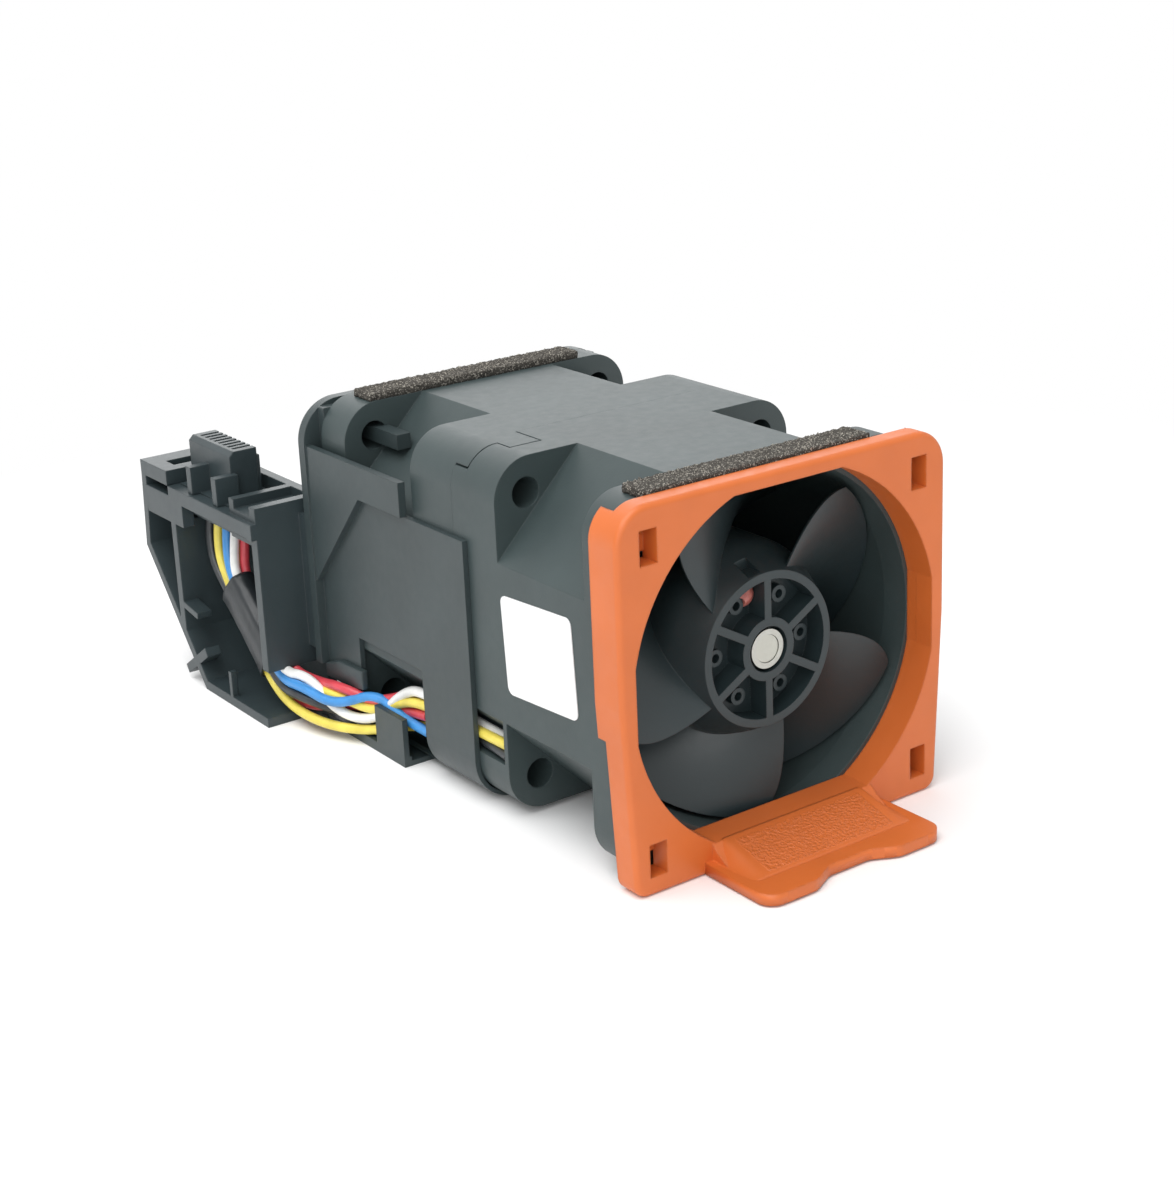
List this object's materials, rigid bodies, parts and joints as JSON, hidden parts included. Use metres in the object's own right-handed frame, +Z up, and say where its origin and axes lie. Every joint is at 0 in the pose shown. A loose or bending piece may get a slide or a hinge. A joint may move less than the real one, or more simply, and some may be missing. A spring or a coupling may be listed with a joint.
{
  "type": "server fan module",
  "caption": "Rack-server cooling module: two counter-rotating axial fans, back to back, in one carrier, with an orange bezel, a pull tab and a shielded plug.",
  "frame": {"origin": "on the underside, below the fan axis, at the bezel's front face", "axes": "+Y along the fan axis from the bezel to the connector, +Z up, +X across to the side away from the connector guard"},
  "size_m": [0.0496, 0.1052, 0.0417],
  "materials": {
    "orange_plastic": "satin",
    "foam": "matt, open-celled",
    "black_plastic": "fine satin",
    "impeller_plastic": "satin",
    "label": "satin",
    "contact_metal": "plated",
    "sleeve": "satin",
    "yellow_lead": "satin",
    "red_lead": "satin",
    "white_lead": "satin",
    "black_lead": "satin",
    "blue_lead": "satin",
    "brass": "machined",
    "bearing_steel": "ground",
    "plated_steel": "plated",
    "magnet": "moulded",
    "stator_steel": "stamped",
    "insulator": "moulded",
    "copper_winding": "enamelled",
    "circuit_board": "coated",
    "putty": "waxy"
  },
  "bodies": {
    "module": {"front_bezel": "orange_plastic", "front_foam_strip": "foam", "rear_foam_strip": "foam", "front_fan_frame": "black_plastic", "rear_fan_frame": "black_plastic", "blank_label": "label", "fan_carrier": "black_plastic", "connector_guard": "black_plastic", "connector_plug": "black_plastic", "connector_contacts": "contact_metal", "heat_shrink_sleeve": "sleeve", "yellow_lead_front": "yellow_lead", "red_lead_front": "red_lead", "white_lead_front": "white_lead", "black_lead_front": "black_lead", "black_lead_rear": "black_lead", "yellow_lead_rear": "yellow_lead", "red_lead_rear": "red_lead", "blue_lead_rear": "blue_lead", "front_bearing_tube": "brass", "front_ball_bearings": "bearing_steel", "front_stator_core": "stator_steel", "front_winding_insulators": "insulator", "front_stator_windings": "copper_winding", "front_circuit_board": "circuit_board", "rear_bearing_tube": "brass", "rear_ball_bearings": "bearing_steel", "rear_stator_core": "stator_steel", "rear_winding_insulators": "insulator", "rear_stator_windings": "copper_winding", "rear_circuit_board": "circuit_board"},
    "front_rotor": {"front_impeller": "impeller_plastic", "front_rotor_yoke": "plated_steel", "front_magnet_ring": "magnet", "front_shaft": "bearing_steel", "front_shaft_bush": "plated_steel", "front_retaining_clip": "plated_steel", "balance_putty": "putty"},
    "rear_rotor": {"rear_impeller": "impeller_plastic", "rear_rotor_yoke": "plated_steel", "rear_magnet_ring": "magnet", "rear_shaft": "bearing_steel", "rear_shaft_bush": "plated_steel", "rear_retaining_clip": "plated_steel"}
  },
  "joints": [
    {"name": "front_spin", "type": "hinge", "parent": "module", "child": "front_rotor", "pos_m": [0, 0.0138, 0.02065], "axis": [0, 1, 0], "continuous": true},
    {"name": "rear_spin", "type": "hinge", "parent": "module", "child": "rear_rotor", "pos_m": [0, 0.0498, 0.02065], "axis": [0, 1, 0], "continuous": true}
  ]
}
